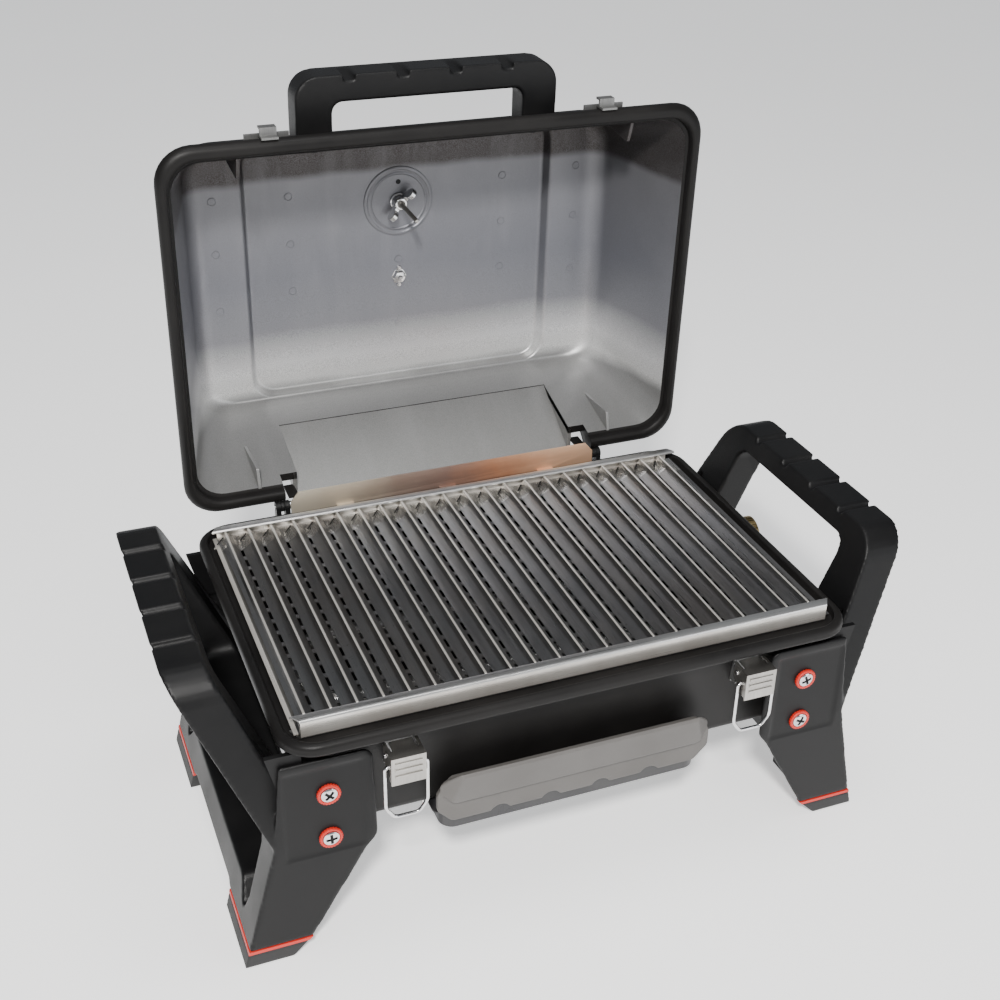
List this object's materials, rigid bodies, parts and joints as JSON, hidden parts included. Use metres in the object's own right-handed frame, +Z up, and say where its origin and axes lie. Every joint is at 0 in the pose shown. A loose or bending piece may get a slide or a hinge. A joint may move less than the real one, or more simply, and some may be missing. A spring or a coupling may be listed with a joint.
{
  "type": "folding camp grill",
  "caption": "Portable gas table grill: hinged lid with gauge, folded sheet grate, slide-out grease tray, over-centre latches and moulded carry-handle legs.",
  "frame": {"origin": "on the ground under the middle of the grill's box with its lid open", "axes": "+X along the width to the gas side, +Y to the hinge at the back, +Z up"},
  "size_m": [0.626, 0.4893, 0.5988],
  "materials": {
    "cast_black": "matte black paint outside, bare satin casting inside the lid",
    "moulded_black": "satin textured",
    "foot_black": "matte",
    "trim_red": "satin",
    "stainless": "brushed",
    "heat_tinted": "brushed, heat tinted",
    "zinc_steel": "bright plated",
    "dark_steel": "matte black",
    "brass": "machined",
    "ceramic": "glazed",
    "lens_glass": "clear",
    "dial_white": "satin",
    "grey_plastic": "matte"
  },
  "bodies": {
    "chassis": {"firebox": "cast_black", "left_end_frame": "moulded_black", "right_end_frame": "moulded_black", "foot_pads": "foot_black", "foot_trim_strips": "trim_red", "frame_screws": "zinc_steel", "screw_collars": "trim_red", "rear_heat_guard": "heat_tinted", "guard_screws": "zinc_steel", "hinge_lower_leaves": "dark_steel", "hinge_lower_screws": "zinc_steel", "hinge_pins": "zinc_steel", "burner_tube": "stainless", "burner_brackets": "stainless", "igniter_electrode": "ceramic", "electrode_bracket": "stainless", "valve_bracket": "dark_steel", "gas_valve": "brass", "valve_screws": "zinc_steel", "igniter_housing": "moulded_black", "latch_bases": "stainless", "latch_rivets": "zinc_steel", "latch_pins": "zinc_steel", "tray_runners": "stainless", "runner_screws": "zinc_steel"},
    "lid": {"lid_shell": "cast_black", "lid_handle": "moulded_black", "lid_handle_screws": "zinc_steel", "lid_catches": "zinc_steel", "catch_rivets": "zinc_steel", "hinge_upper_leaves": "dark_steel", "hinge_upper_screws": "zinc_steel", "gauge_housing": "zinc_steel", "gauge_lens": "lens_glass", "gauge_dial": "dial_white", "gauge_probe": "stainless", "gauge_wing_nut": "zinc_steel", "badge_plate": "stainless", "badge_nut": "zinc_steel"},
    "needle": {"gauge_needle": "trim_red"},
    "grate": {"cooking_grate": "stainless", "grate_front_rail": "stainless", "grate_rear_rail": "stainless"},
    "tray": {"grease_tray": "dark_steel", "tray_handle": "grey_plastic", "tray_handle_screws": "zinc_steel"},
    "left_lever": {"left_latch_lever": "stainless"},
    "right_lever": {"right_latch_lever": "stainless"},
    "left_bail": {"left_latch_bail": "zinc_steel"},
    "right_bail": {"right_latch_bail": "zinc_steel"},
    "knob": {"control_knob": "moulded_black"},
    "button": {"igniter_button": "trim_red"}
  },
  "joints": [
    {"name": "lid_hinge", "type": "hinge", "parent": "chassis", "child": "lid", "pos_m": [0, 0.1009, 0.2206], "axis": [-1, 0, 0], "range_deg": [-88, 0]},
    {"name": "needle_turn", "type": "hinge", "parent": "lid", "child": "needle", "pos_m": [0, 0.23074, 0.45377], "axis": [0, 0.9994, 0.0349], "range_deg": [0, 270], "stiffness_Nm_per_rad": 0.001},
    {"name": "grate_lift", "type": "slide", "parent": "chassis", "child": "grate", "axis": [0, 0, 1], "range_m": [0, 0.15]},
    {"name": "tray_slide", "type": "slide", "parent": "chassis", "child": "tray", "axis": [0, -1, 0], "range_m": [0, 0.2]},
    {"name": "left_lever_hinge", "type": "hinge", "parent": "chassis", "child": "left_lever", "pos_m": [-0.1488, -0.2296, 0.1885], "axis": [-1, 0, 0], "range_deg": [0, 90]},
    {"name": "right_lever_hinge", "type": "hinge", "parent": "chassis", "child": "right_lever", "pos_m": [0.1488, -0.2296, 0.1885], "axis": [-1, 0, 0], "range_deg": [0, 90]},
    {"name": "left_bail_hinge", "type": "hinge", "parent": "left_lever", "child": "left_bail", "pos_m": [-0.1488, -0.2376, 0.1835], "axis": [1, 0, 0], "range_deg": [-172, 15]},
    {"name": "right_bail_hinge", "type": "hinge", "parent": "right_lever", "child": "right_bail", "pos_m": [0.1488, -0.2376, 0.1835], "axis": [1, 0, 0], "range_deg": [-172, 15]},
    {"name": "knob_turn", "type": "hinge", "parent": "chassis", "child": "knob", "pos_m": [0.241, -0.1166, 0.1565], "axis": [1, 0, 0], "range_deg": [0, 270]},
    {"name": "button_push", "type": "slide", "parent": "chassis", "child": "button", "axis": [-1, 0, 0], "range_m": [0, 0.005], "stiffness_N_per_m": 300, "springref_m": -0.002}
  ]
}
